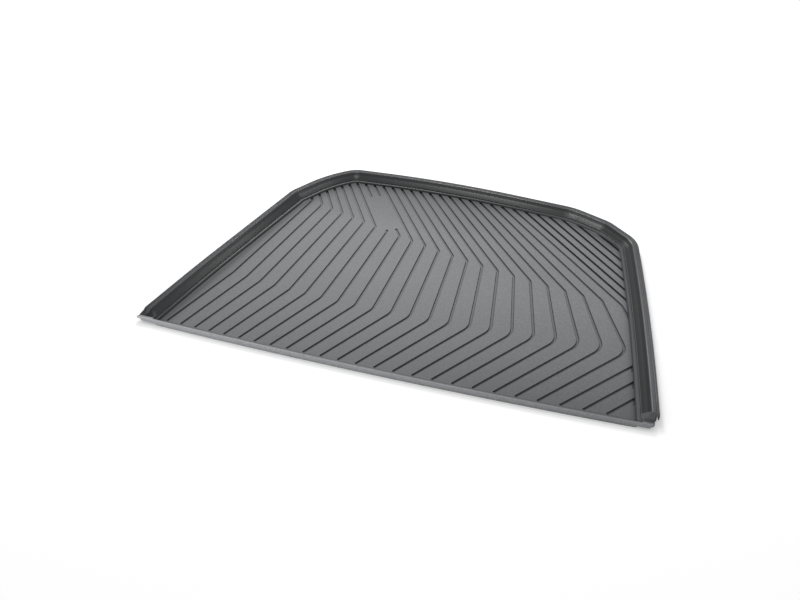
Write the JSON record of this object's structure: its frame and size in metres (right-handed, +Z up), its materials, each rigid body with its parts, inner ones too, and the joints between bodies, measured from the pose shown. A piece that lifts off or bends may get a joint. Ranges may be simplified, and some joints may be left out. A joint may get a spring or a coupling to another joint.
{
  "type": "car boot liner",
  "caption": "Shallow moulded boot tray with a low flat rim, sloping walls and a floor of bent drain grooves, open over a low front lip.",
  "frame": {"origin": "on the ground, in the middle of the front edge of the floor", "axes": "+X to the right along the front edge, +Y towards the back of the boot, +Z up"},
  "size_m": [1.0076, 0.6959, 0.0215],
  "materials": {
    "liner": "fine grained matte"
  },
  "bodies": {
    "root": {"boot_liner": "liner"}
  },
  "joints": []
}
